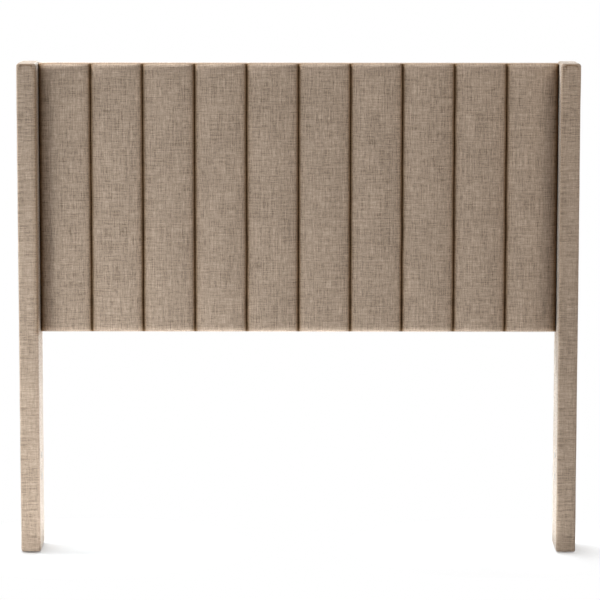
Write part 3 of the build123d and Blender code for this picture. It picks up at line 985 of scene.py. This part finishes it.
beside = maths(floor_tree, "SUBTRACT", maths(floor_tree, "ABSOLUTE", beside), shadow_half)
beside = maths(floor_tree, "MAXIMUM", beside, 0.0)
beside = maths(floor_tree, "POWER", beside, 2.0)
before = maths(floor_tree, "POWER", maths(floor_tree, "ABSOLUTE", floor_axes.outputs[1]), 2.0)
away = maths(floor_tree, "SQRT", maths(floor_tree, "ADD", beside, before))
lift = node(floor_tree, "MapRange", {"Value": away, "From Min": white_begins,
                                     "From Max": white_from}, interpolation_type="SMOOTHSTEP")
light_path = node(floor_tree, "LightPath")
shown = maths(floor_tree, "MAXIMUM", light_path.outputs["Is Camera Ray"],
              light_path.outputs["Is Glossy Ray"])
shown = maths(floor_tree, "MAXIMUM", shown, light_path.outputs["Is Transmission Ray"])
floor_colour = node(floor_tree, "MixRGB", {"Fac": shown, "Color1": floor_to_light,
                                           "Color2": floor_to_camera})
floor_tree.links.new(floor_colour.outputs[0], floor_shader.inputs["Base Color"])
to_right = node(floor_tree, "MapRange", {"Value": floor_axes.outputs[0], "From Min": 0.0,
                                         "From Max": foot_x, "To Max": right_glow})
glow = maths(floor_tree, "MULTIPLY", shown, to_right.outputs[0])
floor_tree.links.new(glow, floor_shader.inputs["Emission Strength"])
plain_white = node(floor_tree, "Emission", {"Strength": 1.0})
whiteness = maths(floor_tree, "MULTIPLY", shown, lift.outputs[0])
floor_mix = node(floor_tree, "MixShader", {0: whiteness, 1: floor_shader.outputs[0],
                                           2: plain_white.outputs[0]})
floor_tree.links.new(floor_mix.outputs[0], floor_tree.nodes["Material Output"].inputs[0])
floor.data.materials.append(floor_material)
print("floor is", floor.dimensions.x, "m wide")

# %% Light the room
room_light = 0.18
room_tint = (1.0, 0.985, 0.965, 1)
world = bpy.data.worlds.new("white_room")
bpy.context.scene.world = world
world.use_nodes = True
room = world.node_tree
room.nodes.clear()
seen = room.nodes.new("ShaderNodeBackground")
seen.inputs[0].default_value = (1, 1, 1, 1)
seen.inputs[1].default_value = 1.0
lit = room.nodes.new("ShaderNodeBackground")
lit.inputs[0].default_value = room_tint
lit.inputs[1].default_value = room_light
path = room.nodes.new("ShaderNodeLightPath")
either = maths(room, "MAXIMUM", path.outputs["Is Camera Ray"], path.outputs["Is Glossy Ray"])
either = maths(room, "MAXIMUM", either, path.outputs["Is Transmission Ray"])
mixed = room.nodes.new("ShaderNodeMixShader")
room_output = room.nodes.new("ShaderNodeOutputWorld")
room.links.new(either, mixed.inputs[0])
room.links.new(lit.outputs[0], mixed.inputs[1])
room.links.new(seen.outputs[0], mixed.inputs[2])
room.links.new(mixed.outputs[0], room_output.inputs[0])


def area_light(name, place, aim, size, watts, colour):
    """A soft rectangular light at a place, turned towards a point."""
    bpy.ops.object.light_add(type="AREA", location=place)
    lamp = bpy.context.object
    lamp.name = name
    lamp.data.shape = "RECTANGLE"
    lamp.data.size, lamp.data.size_y = size
    lamp.data.energy = watts
    lamp.data.color = colour
    lamp.rotation_euler = (Vector(aim) - Vector(place)).to_track_quat("-Z", "Y").to_euler()
    lamp.visible_camera = False
    print(name, "of", watts, "W")


cool, white, warm = (0.92, 0.98, 1.0), (1.0, 1.0, 1.0), (1.0, 0.95, 0.88)

# Each lamp: its name, its place, the point that it is turned to, its size, watts and colour.
studio_lamps = (
    ("left_near_light", (-2.1, -1.7, 0.15), (-0.6, 0, 0.3), (0.7, 0.7), 9, cool),
    ("left_foot_light", (-1.6, -1.2, 0.12), (-0.8, 0, 0.1), (0.4, 0.4), 13, cool),
    ("left_light", (-3.4, -1.4, 1.2), (0, 0, 0.9), (1.2, 1.2), 15, white),
    ("upper_left_light", (-2.4, 0.4, 3.0), (0, 0, 0.9), (1.0, 1.0), 100, white),
    ("over_front_light", (-0.5, -1.4, 3.4), (-0.2, 0, 0.6), (3.0, 1.6), 16, cool),
    ("upper_right_light", (2.2, -1.8, 3.0), (0.3, 0, 1.2), (1.0, 1.0), 33, warm),
    ("top_light", (-0.8, 1.8, 3.2), (-0.2, 0, 1.2), (3.0, 1.0), 148, cool),
    ("back_right_light", (2.8, 2.2, 1.7), (0, 0, 0.7), (2.8, 2.8), 60, white),
    ("left_leg_light", (0.1, 0.6, 0.15), (-0.77, 0, 0.45), (0.4, 0.2), 7.5, white),
    ("right_leg_light", (-0.1, 0.6, 0.15), (0.77, 0, 0.45), (0.4, 0.2), 4.5, white),
    ("under_light", (0, -0.10, 0.03), (0, -0.10, 1.0), (1.5, 0.42), 4.5, cool),
)
for lamp_settings in studio_lamps:
    area_light(*lamp_settings)

# %% [markdown]
# ## Finish
#
# The picture is shown with the standard view transform. The dressed headboard has to stay in
# the box of the frame, but for the little that cloth may stand proud.

# %% Finish
bpy.context.scene.view_settings.view_transform = "Standard"
